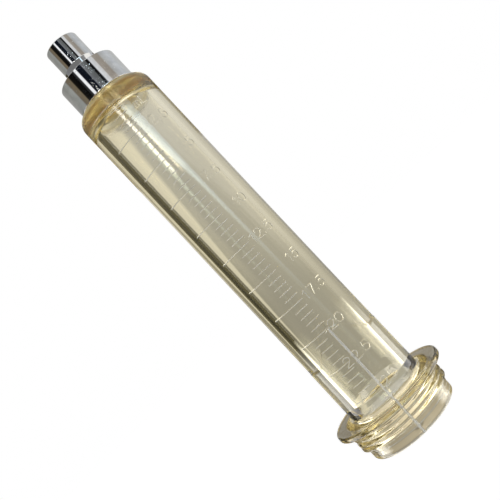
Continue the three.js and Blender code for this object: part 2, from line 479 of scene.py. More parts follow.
class Relief:
    """Distance from a point (arc, z) to the nearest stroke, from points sampled closely along the strokes."""

    def __init__(self, strokes):
        pts = []
        for st in strokes:
            for p, q in zip(st[:-1], st[1:]):
                n = max(1, int(np.linalg.norm(q - p) / 0.02))
                for i in range(n):
                    pts.append(p + (q - p) * (i / n))
            pts.append(st[-1])
        self.tree = KDTree(len(pts))
        for i, p in enumerate(pts):
            self.tree.insert((float(p[0]), float(p[1]), 0.0), i)
        self.tree.balance()

    def distance(self, x, y):
        co, _, d = self.tree.find((x, y, 0.0))
        if d < 1e-6:
            return 0.0, (0.0, 0.0)
        return d, ((x - co[0]) / d, (y - co[1]) / d)


def build_barrel():
    relief = Relief(STROKES)
    # columns round the axis
    base = np.linspace(-PI, PI, 240, endpoint=False)
    extra = []
    for c in (PART_BETA, PART_BETA + PI):
        for mm in (-0.6, -0.46, -0.42, -0.38, -0.345, -0.31, -0.28, -0.24, -0.12, 0, 0.12, 0.24, 0.28, 0.31, 0.345, 0.38, 0.42, 0.46, 0.6):
            extra.append(c + mm / 11.95)
    extra = [float(np.angle(np.exp(1j * e))) for e in extra]
    cols = [b for b in base if min(abs(b - e) for e in extra) > 0.006] + extra + [-SECTOR, SECTOR]
    cols = np.array(sorted(set(round(c, 7) for c in cols)))
    keep = [cols[0]]
    for c in cols[1:]:
        if c - keep[-1] > 0.0018 or abs(abs(c) - SECTOR) < 1e-6:
            if abs(abs(c) - SECTOR) < 1e-6 and c - keep[-1] < 0.004:
                keep[-1] = c
            else:
                keep.append(c)
    cols = np.array(keep)
    nc = len(cols)
    theta = -PI / 2 - cols

    rows, kinds = [], []

    def add(r, z, kind=""):
        rows.append((r, z))
        kinds.append(kind)

    # mouth ring, outwards
    for r, z in arc(MOUTH_R + 0.25, 0.25, 0.25, 180, 270, 4):
        add(r, z)
    for r, z in arc(LIP_R - 0.7, 0.7, 0.7, -90, 0, 7):
        dent = 0.0
        add(r, z)
    # lip cylinder with a shallow gate mark on the parting line
    d_part = parting(cols, LIP_R)
    front = np.abs(np.angle(np.exp(1j * (cols - PART_BETA)))) < 1.0
    for z in np.linspace(0.85, 2.78, 11):
        g = 0.20 * np.exp(-(d_part / 0.9) ** 2 - ((z - 1.9) / 0.85) ** 2) * front
        add(LIP_R - g + strip(cols, LIP_R) * 0.8, z)
    # thread
    for z in np.arange(2.87, FL_LO - 0.28, 0.08):
        q = (z - 3.6 - PITCH * (theta - 0.6) / (2 * PI)) / PITCH
        n = np.floor(q + 0.5)
        t = np.abs(q - n) * 2
        zc = 3.6 + PITCH * (n + (theta - 0.6) / (2 * PI))
        h = 1 - smoothstep(0.22, 0.86, t)
        h = h * smoothstep(3.35, 3.95, zc) * (1 - smoothstep(8.75, 9.05, zc))
        h = h * (1 - 0.28 * np.exp(-(d_part / 0.55) ** 2))
        neck = smoothstep(2.75, 3.0, z)
        add(LIP_R + (THREAD_ROOT - LIP_R) * neck + (THREAD_CREST - THREAD_ROOT) * h + strip(cols, 14.5), z)
    # fillet under the flange, flange, fillet over it
    for r, z in arc(THREAD_ROOT + 0.28, FL_LO - 0.28, 0.28, 180, 90, 3)[1:]:
        add(r, z)
    for r in (15.4, 16.4, 17.2):
        add(r, FL_LO)
    for r, z in arc(FLANGE_R - 0.5, FL_LO + 0.5, 0.5, -90, 0, 6):
        add(r, z)
    for z in (10.6, 10.8, 11.0):
        add(FLANGE_R - 0.0001 + 0 * cols, z)
    for r, z in arc(FLANGE_R - 0.5, FL_HI - 0.5, 0.5, 0, 90, 6):
        add(r, z)
    st = strip(cols, 15.0)
    for r in (17.2, 16.4, 15.6, 14.8, 14.0, 13.4):
        add(r, FL_HI + st)
    for r, z in arc(TUBE[0][1] + FILLET, FL_HI + FILLET, FILLET, 270, 180, 8)[1:]:
        k = (z - FL_HI) / FILLET
        add(r + body_relief(cols, np.full(nc, z)) * k, z + st * (1 - k))
    # tube
    ZT = np.concatenate([
        np.linspace(13.4, 28.2, 15), np.linspace(28.8, 37.2, 30), np.linspace(38.4, 119.7, 52),
    ])
    for z in ZT:
        add(tube_r(z) + body_relief(cols, np.full(nc, z)), z, "tube")
    for r, z in arc(TUBE[-1][1] - SHOULDER, FRONT_Z - SHOULDER, SHOULDER, 0, 90, 14):
        add(r, z)
    for r in (8.2, 7.4, 6.7):
        add(r, FRONT_Z)
    for r, z in arc(SPIGOT_R + 0.25, FRONT_Z + 0.25, 0.25, 270, 180, 3):
        add(r, z)
    # spigot with its external thread, 1 mm pitch
    for z in np.arange(123.9, 128.3, 0.09):
        q = z - 124.0 - theta / (2 * PI)
        n = np.floor(q + 0.5)
        t = np.abs(q - n) * 2
        zc = 124.0 + n + theta / (2 * PI)
        h = (1 - smoothstep(0.2, 0.9, t)) * smoothstep(124.0, 124.5, zc) * (1 - smoothstep(127.5, 128.0, zc))
        add(SPIGOT_R - 0.35 + 0.35 * h, z)
    for r, z in arc(SPIGOT_R - 0.75, SPIGOT_TOP - 0.4, 0.4, 0, 90, 4):
        add(r, z)
    add(3.4, SPIGOT_TOP)
    for r, z in arc(PASSAGE_R + 0.2, SPIGOT_TOP - 0.2, 0.2, 90, 180, 3):
        add(r, z)
    add(PASSAGE_R, 124.0)
    for r, z in arc(PASSAGE_R + 0.2, BORE_END_Z + 0.2, 0.2, 180, 270, 3):
        add(r, z)
    for r in (2.8, 4.2):
        add(r, BORE_END_Z)
    for r, z in arc(BORE_R - BORE_ROUND, BORE_END_Z - BORE_ROUND, BORE_ROUND, 90, 0, 14):
        add(r, z)
    for z in np.linspace(112.0, 17.0, 40):
        add(BORE_R, z)
    # lead-in cone with soft edges, counterbore
    for r, z in arc(BORE_R + 0.8, LEAD_Z + 0.35, 0.8, 180, 213, 4):
        add(r, z)
    for r, z in ((9.95, 13.0), (11.0, 11.3)):
        add(r, z)
    for r, z in arc(MOUTH_R - 0.9, MOUTH_Z - 0.35, 0.9, 35, 0, 4):
        add(r, z)
    for z in np.linspace(7.6, 0.9, 8):
        add(MOUTH_R, z)

    verts, _ = lathe(rows, cols)
    nr = len(rows)
    tube_rows = [i for i, k in enumerate(kinds) if k == "tube"]
    r_first, r_last = tube_rows[0], tube_rows[-1]
    j_first = int(np.argmin(np.abs(cols + SECTOR)))
    j_last = int(np.argmin(np.abs(cols - SECTOR)))
    faces = []
    for i in range(nr):
        i2 = (i + 1) % nr
        for j in range(nc):
            j2 = (j + 1) % nc
            if r_first <= i < r_last and j_first <= j < j_last:
                continue
            faces.append((i * nc + j, i * nc + j2, i2 * nc + j2, i2 * nc + j))

    # the sector with the scale: a planar triangulation of (arc, z) points
    pts, ids = [], []
    loop = []
    for j in range(j_first, j_last + 1):
        loop.append((r_first, j))
    for i in range(r_first + 1, r_last + 1):
        loop.append((i, j_last))
    for j in range(j_last - 1, j_first - 1, -1):
        loop.append((r_last, j))
    for i in range(r_last - 1, r_first, -1):
        loop.append((i, j_first))
    for i, j in loop:
        pts.append((cols[j] * R_SC, rows[i][1] if np.isscalar(rows[i][1]) else float(rows[i][1])))
        ids.append(i * nc + j)
    nb = len(pts)
    edges = [(k, (k + 1) % nb) for k in range(nb)]
    # stroke points at fixed distances from the stroke's middle
    seen = set()

    def put(x, y, q=0.028):
        key = (round(x / q), round(y / q))
        if key in seen:
            return
        seen.add(key)
        if abs(x) < SECTOR * R_SC - 0.15 and ZT[0] + 0.15 < y < ZT[-1] - 0.15:
            pts.append((x, y))

    levels = (0.0, W_IN, 0.5 * (W_IN + W_OUT), W_OUT, W_OUT + 0.09)
    for st in STROKES:
        m = len(st)
        for k in range(m):
            a = st[max(0, k - 1)]
            b = st[min(m - 1, k + 1)]
            t = (b - a) / max(np.linalg.norm(b - a), 1e-9)
            nrm = np.array([-t[1], t[0]])
            for w in levels:
                for s in ((1, -1) if w else (1,)):
                    p = st[k] + nrm * w * s
                    d, _ = relief.distance(p[0], p[1])
                    if d > w - 0.02:
                        put(p[0], p[1])
            if k in (0, m - 1):
                back = t if k == 0 else -t
                for w in levels[1:]:
                    for ang in (-60, -30, 0, 30, 60):
                        c, s_ = math.cos(math.radians(ang)), math.sin(math.radians(ang))
                        dirv = -np.array([back[0] * c - back[1] * s_, back[0] * s_ + back[1] * c])
                        p = st[k] + dirv * w
                        d, _ = relief.distance(p[0], p[1])
                        if d > w - 0.02:
                            put(p[0], p[1])
    # plain surface between them
    for z in ZT[1:-1]:
        for j in range(j_first + 1, j_last):
            x = cols[j] * R_SC
            d, _ = relief.distance(x, z)
            if d > W_OUT + 0.16:
                put(x, z)
    res = delaunay_2d_cdt([Vector(p) for p in pts], edges, [], 1, 1e-5)
    v2, f2, orig = res[0], res[2], res[3]
    index = {}
    base_n = len(verts)
    info = []
    for k, v in enumerate(v2):
        o = [q for q in orig[k] if q < nb]
        if o:
            index[k] = ids[o[0]]
            continue
        x, z = float(v[0]), float(v[1])
        d, g = relief.distance(x, z)
        index[k] = base_n + len(info)
        info.append((x, z, d, g[0], g[1]))
    info = np.array(info)
    X, Zz, D, GX, GZ = info.T
    height = H_TICK * (1 - smoothstep(W_IN, W_OUT, D))
    rr = tube_r(Zz) + body_relief(X / R_SC, Zz) + height
    verts = np.concatenate([verts, point(rr, Zz, X / R_SC)])
    for f in f2:
        faces.append(tuple(index[k] for k in f))
    # drop what nothing uses
    flat = np.unique(np.concatenate([a.ravel() for a in face_arrays(faces)]))
    remap = np.full(len(verts), -1, dtype=int)
    remap[flat] = np.arange(len(flat))
    P = verts[flat]
    faces = [tuple(int(remap[i]) for i in f) for f in faces]

    # normals: averaged from the faces, and exact on the tube
    tri, quad = face_arrays(faces)
    N = np.zeros_like(P)
    nq = np.cross(P[quad[:, 2]] - P[quad[:, 0]], P[quad[:, 3]] - P[quad[:, 1]])
    nt_ = np.cross(P[tri[:, 1]] - P[tri[:, 0]], P[tri[:, 2]] - P[tri[:, 0]])
    for c in range(4):
        np.add.at(N, quad[:, c], nq)
    for c in range(3):
        np.add.at(N, tri[:, c], nt_)
    if signed_volume(P, faces) < 0:
        N = -N
    N /= np.maximum(np.linalg.norm(N, axis=1, keepdims=True), 1e-12)

    def tube_normals(b, z, d=None, gx=None, gz=None):
        e = 0.02
        base_h = lambda bb, zz: tube_r(zz) + body_relief(bb, zz)
        dz = (base_h(b, z + e) - base_h(b, z - e)) / (2 * e)
        db = (base_h(b + e / 12, z) - base_h(b - e / 12, z)) / (2 * e)
        if d is not None:
            t = np.clip((d - W_IN) / (W_OUT - W_IN), 0, 1)
            slope = -H_TICK * 6 * t * (1 - t) / (W_OUT - W_IN)
            dz = dz + slope * gz
            db = db + slope * gx
        n = np.stack([-np.sin(b) + np.cos(b) * db, -np.cos(b) - np.sin(b) * db, -dz], axis=-1)
        return n / np.linalg.norm(n, axis=1, keepdims=True)

    k = remap[base_n:base_n + len(info)]
    ok = k >= 0
    N[k[ok]] = tube_normals(X / R_SC, Zz, D, GX, GZ)[ok]
    for i in tube_rows[1:-1]:
        k = remap[i * nc:(i + 1) * nc]
        ok = k >= 0
        N[k[ok]] = tube_normals(cols, np.full(nc, float(rows[i][1])))[ok]
    # painted highlight on the raised strokes and the parting line, 0 to 1: how much whiter and less clear they are made
    painted_glint = np.zeros(len(P))
    k = remap[base_n:base_n + len(info)]
    ok = k >= 0
    arc_deg = np.degrees(X / R_SC)
    painted_glint[k[ok]] = ((1 - smoothstep(W_IN, W_OUT, D)) * np.where(arc_deg < -15.5, 0.30, 0.62))[ok]
    beta = np.arctan2(-P[:, 0], -P[:, 1])
    rad = np.hypot(P[:, 0], P[:, 1])
    front_half = np.abs(np.angle(np.exp(1j * (beta - PART_BETA)))) < 0.2
    # painted highlight along the parting strip on the front half, below the arch
    line = (1 - smoothstep(0.16, 0.42, parting(beta, rad))) * front_half * (rad > 11.6) * (P[:, 2] < arch_z(beta) + 0.2)
    painted_glint = np.maximum(painted_glint, 0.85 * line)
    return P, faces, N, painted_glint


v, f, n, w = build_barrel()
barrel = finish_mesh("clear_barrel", v, f, MAT_CLEAR, "barrel", "barrel", n, w)
print("barrel verts", len(v), "faces", len(f))


# ------------------------------------------------------------------------- the nozzle
def plain_cols(n):
    return np.linspace(-PI, PI, n, endpoint=False)


HUB_WALL = CONE_Z0


def hub():
    cols = plain_cols(192)
    theta = -PI / 2 - cols
    rows = []
    outline = [
        (6.55, HUB_Z0), (HUB_R, HUB_Z0), (HUB_R, HUB_Z1), (2.9, HUB_Z1), (2.9, HUB_WALL), (6.3, HUB_WALL),
    ]
    pr = rounded(outline, {0: 0.1, 1: 0.12, 2: 0.22, 3: 0.12, 4: 0.1, 5: 0.15}, 5)
    # split the long runs so that the surface stays even
    out = []
    for a, b in zip(pr, pr[1:] + pr[:1]):
        out.append(a)
        run = np.hypot(b[0] - a[0], b[1] - a[1])
        if run > 0.8:      # rows close to the rounded edges keep the plain faces plain
            e = 0.05 / run
            a2, b2 = (a[0] + (b[0] - a[0]) * e, a[1] + (b[1] - a[1]) * e), (b[0] - (b[0] - a[0]) * e, b[1] - (b[1] - a[1]) * e)
            n = int(run / 1.4)
            out.append(a2)
            for i in range(1, n + 1):
                t = i / (n + 1)
                out.append((a2[0] + (b2[0] - a2[0]) * t, a2[1] + (b2[1] - a2[1]) * t))
            out.append(b2)
            continue
        n = int(np.hypot(b[0] - a[0], b[1] - a[1]) / 1.4)
        for i in range(1, n + 1):
            t = i / (n + 1)
            out.append((a[0] + (b[0] - a[0]) * t, a[1] + (b[1] - a[1]) * t))
    rows = [(r, z) for r, z in out]
    # internal thread on the last run, from the end wall down to the mouth
    rows = [(r, z) for r, z in rows if not (abs(r - 6.3) < 0.2 and z < HUB_WALL - 0.7 and z > HUB_Z0 + 0.3)]
    tail = []
    for z in np.arange(HUB_WALL - 1.0, HUB_Z0 + 0.35, -0.09):
        q = z - 123.5 - theta / (2 * PI)
        n_ = np.floor(q + 0.5)
        t = np.abs(q - n_) * 2
        zc = 123.5 + n_ + theta / (2 * PI)
        h = (1 - smoothstep(0.2, 0.9, t)) * smoothstep(124.4, 124.8, zc) * (1 - smoothstep(HUB_WALL - 2.0, HUB_WALL - 1.4, zc))
        tail.append((6.3 - 0.16 * h, z))
    rows += tail
    v, f = lathe(rows, cols)
    return v, f


def seal():
    outline = [(1.8, SEAL_Z0), (SEAL_R, SEAL_Z0), (SEAL_R, SEAL_Z1), (1.8, SEAL_Z1)]
    return lathe(rounded(outline, {"all": 0.15}, 4), plain_cols(96))


def cone():
    outline = [
        (1.1, CONE_Z0), (2.6, CONE_Z0), (2.6, 134.4), (3.3, 134.4), (3.3, 135.2), (2.21, 135.2),
        (1.99, CONE_Z1), (1.1, CONE_Z1),
    ]
    pr = rounded(outline, {0: 0.08, 1: 0.12, 2: 0.06, 3: 0.1, 4: 0.14, 5: 0.15, 6: 0.22, 7: 0.12}, 4)
    return lathe(pr, plain_cols(128))


LIP_TOP = COL_Z0 + 1.2


def collar():
    """Sleeve with a foot that tapers in to the hub and a two-start thread inside its mouth."""
    cols = plain_cols(192)
    theta = -PI / 2 - cols
    rows = []
    for r, z in arc(4.60 - 0.12, COL_Z0 + 0.12, 0.12, -90, -10, 3):
        rows.append((r, z))
    for k in np.linspace(0.05, 1, 8):
        rows.append((4.60 + (COL_R - 0.02 - 4.60) * k, COL_Z0 + 0.1 + 2.56 * k))
    rows.append((COL_R - 0.005, COL_Z0 + 2.72))
    rows.append((COL_R, COL_Z0 + 2.78))
    rows.append((COL_R, COL_Z0 + 2.84))
    for z in list(np.linspace(COL_Z0 + 3.2, COL_Z1 - 0.6, 8)) + [COL_Z1 - 0.40]:
        rows.append((COL_R, z))
    for r, z in arc(COL_R - 0.34, COL_Z1 - 0.34, 0.34, 0, 90, 6):
        rows.append((r, z))
    for r, z in arc(4.02 + 0.12, COL_Z1 - 0.12, 0.12, 90, 160, 3):
        rows.append((r, z))
    rows.append((3.72, COL_Z1 - 0.5))
    for z in np.arange(COL_Z1 - 0.62, 137.2, -0.11):
        q = (z - 137.2) / 2.5 - theta / PI      # two starts, 5 mm lead
        t = np.abs(q - np.floor(q + 0.5)) * 2
        h = (1 - smoothstep(0.22, 0.62, t)) * smoothstep(137.6, 138.4, z) * (1 - smoothstep(COL_Z1 - 1.1, COL_Z1 - 0.7, z))
        rows.append((3.68 - 0.26 * h, z))
    rows.append((3.65, 136.7))
    for r, z in arc(3.65 - 0.12, LIP_TOP + 0.12, 0.12, 0, -90, 3):
        rows.append((r, z))
    for r, z in arc(2.95 + 0.1, LIP_TOP - 0.1, 0.1, 90, 180, 3):
        rows.append((r, z))
    for r, z in arc(2.95 + 0.1, COL_Z0 + 0.1, 0.1, 180, 270, 3):
        rows.append((r, z))
    return lathe(rows, cols)


v, f = hub()
hub_ob = finish_mesh("chrome_hub", v, f, MAT_CHROME, "hub", "nozzle_hub")
v, f = seal()
seal_ob = finish_mesh("rubber_washer", v, f, MAT_SEAL, "seal", "nozzle_seal")
v, f = cone()
cone_ob = finish_mesh("steel_cone", v, f, MAT_STEEL, "hub", "luer_cone")
v, f = collar()
collar_ob = finish_mesh("chrome_collar", v, f, MAT_CHROME, "collar", "lock_collar")


# ------------------------------------------------------------------- stage and lighting
def floor():
    me = bpy.data.meshes.new("floor")
    n, r = 96, 1.6
    vs = [(r * math.cos(2 * PI * i / n), r * math.sin(2 * PI * i / n), -0.0001) for i in range(n)]
    me.from_pydata(vs, [], [tuple(range(n))])
    ob = bpy.data.objects.new("floor", me)
    scene.collection.objects.link(ob)
    m, nt = new_material("pale_floor")
    out = node(nt, "ShaderNodeOutputMaterial")
    d = node(nt, "ShaderNodeBsdfDiffuse")
    d.inputs["Color"].default_value = (0.82, 0.82, 0.82, 1)
    e = node(nt, "ShaderNodeEmission")
    e.inputs["Color"].default_value = (1, 1, 1, 1)
    lp = node(nt, "ShaderNodeLightPath")
    s = math_node(nt, "ADD", math_node(nt, "MULTIPLY", lp.outputs["Is Camera Ray"], 0.55), 0.12)
    nt.links.new(s, e.inputs["Strength"])
    a = node(nt, "ShaderNodeAddShader")
    nt.links.new(d.outputs[0], a.inputs[0])
    nt.links.new(e.outputs[0], a.inputs[1])
    nt.links.new(a.outputs[0], out.inputs["Surface"])
    me.materials.append(m)
    # it shows to the camera and takes soft light, and the clear wall sees the studio instead of it
    ob.visible_transmission = False
    ob.visible_glossy = False
    return ob


floor()


def world():
    """A pale studio round the object: a soft beige backdrop, one tall cool window and its
    narrow continuation at the front left, dark screens beside the camera for the plating,
    and light from above and below. The camera itself sees plain white."""
    w = bpy.data.worlds.new("studio")
    scene.world = w
    w.use_nodes = True
    nt = w.node_tree
    nt.nodes.clear()
    out = node(nt, "ShaderNodeOutputWorld")
    bg = node(nt, "ShaderNodeBackground")
    tc = node(nt, "ShaderNodeTexCoord")
    sep = node(nt, "ShaderNodeSeparateXYZ")
    nt.links.new(tc.outputs["Generated"], sep.inputs[0])
    x = math_node(nt, "MULTIPLY", sep.outputs["X"], -1.0)
    y = math_node(nt, "MULTIPLY", sep.outputs["Y"], -1.0)
    psi = math_node(nt, "ARCTAN2", x, y)
    psi = math_node(nt, "MULTIPLY", psi, 180.0 / PI)      # degrees: 0 at -Y, + towards -X
    sz = sep.outputs["Z"]
    fac = math_node(nt, "ADD", math_node(nt, "MULTIPLY", psi, 1 / 360.0), 0.5)

    def curve(xs_ys, source=None):
        """Piecewise linear function of the height of the direction."""
        x0, x1 = xs_ys[0][0], xs_ys[-1][0]
        y0 = min(v for _, v in xs_ys)
        y1 = max(v for _, v in xs_ys)
        span = (y1 - y0) or 1.0
        t = map_range(nt, source if source is not None else sz, x0, x1, 0.0, 1.0, "LINEAR")
        c = ramp(nt, t, [((a - x0) / (x1 - x0), ((b - y0) / span,) * 3) for a, b in xs_ys])
        r = nt.nodes.new("ShaderNodeSeparateColor")
        nt.links.new(c, r.inputs[0])
        return math_node(nt, "ADD", math_node(nt, "MULTIPLY", r.outputs[0], span), y0)

    def edge(v, at, soft):
        """0 below `at`, 1 above it, over a width of 2 * soft."""
        d = math_node(nt, "SUBTRACT", v, at)
        return math_node(nt, "ADD", math_node(nt, "MULTIPLY", d, 0.5 / soft), 0.5, clamp=True)

    def both(a, b):
        return math_node(nt, "MULTIPLY", a, b)

    def band(v, lo, hi, soft):
        return both(edge(v, lo, soft), math_node(nt, "SUBTRACT", 1.0, edge(v, hi, soft)))

    def stops(table):
        return [((a + 180.0) / 360.0, c) for a, c in table]

    def blend(a, b, f, kind="MIX"):
        m = node(nt, "ShaderNodeMix", data_type="RGBA", blend_type=kind)
        m.clamp_factor = False
        for sock, val in ((m.inputs["Factor"], f), (m.inputs[6], a), (m.inputs[7], b)):
            if isinstance(val, (int, float)):
                sock.default_value = val
            elif isinstance(val, tuple):
                sock.default_value = (*val, 1)
            else:
                nt.links.new(val, sock)
        return m.outputs[2]

    g = lambda k: (k, k, k)
    # what the plating mirrors
    plating = ramp(nt, fac, stops([
        (-180, (0.80, 0.80, 0.78)), (-150, (0.62, 0.62, 0.60)), (-110, (0.72, 0.74, 0.76)), (-84, (0.60, 0.60, 0.58)),
        (-76, (0.42, 0.37, 0.31)), (-55, (0.48, 0.43, 0.37)), (-52, (0.85, 0.84, 0.82)), (-38, (0.95, 0.96, 0.97)),
        (-35, g(0.008)), (-27, g(0.008)), (-25, (0.15, 0.16, 0.155)), (-10, (0.2, 0.21, 0.215)), (-5, (0.30, 0.31, 0.33)),
        (-3, (0.008, 0.012, 0.02)), (17, (0.006, 0.008, 0.014)), (19.5, g(1.35)), (27.5, g(1.35)), (29.5, g(0.05)),
        (36, g(0.03)), (38, g(0.005)), (57, (0.012, 0.01, 0.008)), (61, (0.24, 0.19, 0.12)), (78, (0.22, 0.18, 0.13)),
        (84, (0.42, 0.43, 0.40)), (110, (0.36, 0.36, 0.33)), (150, (0.42, 0.41, 0.39)), (180, (0.80, 0.80, 0.78)),
    ]))
    # what the clear wall mirrors and shows through it
    level = curve([(-0.8, 1.0), (-0.5, 0.72), (-0.36, 0.60), (-0.298, 0.54), (-0.275, 0.27), (-0.245, 0.27), (-0.225, 0.40), (-0.14, 0.40), (-0.05, 0.42), (0.03, 0.47), (0.12, 0.51), (0.2, 0.52), (0.29, 0.57), (0.36, 0.60), (0.48, 0.36), (0.62, 0.36), (0.72, 0.40), (0.8, 0.42)])
    tint = blend((1.0, 0.985, 0.96), (1.0, 1.01, 1.07), edge(sz, 0.15, 0.10))
    tint = blend(tint, (1.0, 0.88, 0.66), math_node(nt, "SUBTRACT", 1.0, edge(sz, -0.235, 0.012)))
    tint = blend(tint, (1.0, 0.90, 0.66), edge(sz, 0.62, 0.04))
    side = ramp(nt, fac, stops([
        (-180, g(1.0)), (-172, g(1.0)), (-160, g(1.12)), (-140, g(1.35)), (-118, g(1.35)), (-100, g(1.1)), (-70, g(0.8)), (-30, g(0.55)),
        (30, g(0.5)), (80, g(0.5)), (105, g(0.6)), (150, g(0.7)), (166, g(0.88)), (174, g(0.86)), (180, g(1.0)),
    ]))
    lv = node(nt, "ShaderNodeCombineColor")
    for i in range(3):
        nt.links.new(level, lv.inputs[i])
    room = blend(blend(tint, lv.outputs[0], 1.0, "MULTIPLY"), side, 1.0, "MULTIPLY")
    # cream panel at the back left, wider towards the nozzle
    cream_to = curve([(-0.30, 150.5), (-0.143, 152.0), (-0.05, 156.0), (0.03, 160.0), (0.12, 165.0), (0.29, 171.0)])
    room = blend(room, (0.80, 0.78, 0.74), both(band(psi, 148.0, cream_to, 1.6), edge(sz, -0.19, 0.05)))
    # dark screen beside it
    dark = both(band(psi, 113.0, 147.5, 2.0), edge(sz, -0.165, 0.02))
    room = blend(room, (0.112, 0.102, 0.056), dark)
    core = both(band(psi, 124.5, 140.0, 2.0), band(sz, -0.13, 0.30, 0.05))
    room = blend(room, (0.022, 0.019, 0.002), core)
    # bright wall at the far right of the camera
    wedge = curve([(-0.30, -70.0), (0.03, -66.0), (0.12, -60.0), (0.20, -38.0), (0.33, -36.0)])
    room = blend(room, (1.25, 1.22, 1.15), both(band(psi, -112.0, wedge, 2.0), edge(sz, 0.01, 0.05)))
    # the window, narrowing downwards
    inner = curve([(-0.25, -37.0), (-0.15, -35.0), (0.05, -28.5), (0.15, -23.0), (0.21, -14.0), (0.29, -6.0), (0.34, -4.5)])
    outer = curve([(-0.25, -43.0), (-0.15, -42.0), (0.05, -35.0), (0.13, -32.0), (0.21, -33.0), (0.34, -33.0)])
    power = curve([(-0.25, 0.25), (-0.15, 0.35), (-0.05, 0.6), (0.05, 1.6), (0.13, 3.0), (0.19, 3.4), (0.22, 3.6), (0.318, 3.6), (0.326, 0.0)])
    pane = both(band(psi, outer, inner, 1.4), power)
    room = blend(room, (0.78, 1.0, 1.12), pane, "ADD")
    hot_to = math_node(nt, "SUBTRACT", inner, 13.0)
    room = blend(room, (2.6, 2.5, 2.2), both(band(psi, hot_to, inner, 1.6), band(sz, 0.195, 0.32, 0.008)), "ADD")
    room = blend(room, (9.0, 8.8, 8.2), both(band(psi, 3.5, 12.5, 0.8), band(sz, 0.196, 0.326, 0.006)), "ADD")
    # light from below the front
    front = math_node(nt, "SUBTRACT", 1.0, edge(math_node(nt, "ABSOLUTE", psi), 105.0, 10.0))
    low = both(both(math_node(nt, "SUBTRACT", 1.0, edge(sz, -0.50, 0.06)), front), 0.5)
    room = blend(room, (1.0, 1.0, 1.0), low, "ADD")
    # darker backdrop low at the back right
    shade = both(band(psi, -171.0, -118.0, 7.0), math_node(nt, "SUBTRACT", 0.62, both(edge(sz, 0.07, 0.06), 0.62)))
    room = blend(room, (0.35, 0.335, 0.29), both(shade, edge(sz, -0.115, 0.02)))

    lp = node(nt, "ShaderNodeLightPath")
    s = math_node(nt, "ADD", math_node(nt, "MULTIPLY", lp.outputs["Is Camera Ray"], 0.55), 0.12)
    nt.links.new(s, e.inputs["Strength"])
    a = node(nt, "ShaderNodeAddShader")
    nt.links.new(d.outputs[0], a.inputs[0])
    nt.links.new(e.outputs[0], a.inputs[1])
    nt.links.new(a.outputs[0], out.inputs["Surface"])
    me.materials.append(m)
    # it shows to the camera and takes soft light, and the clear wall sees the studio instead of it
    ob.visible_transmission = False
    ob.visible_glossy = False
    return ob


floor()


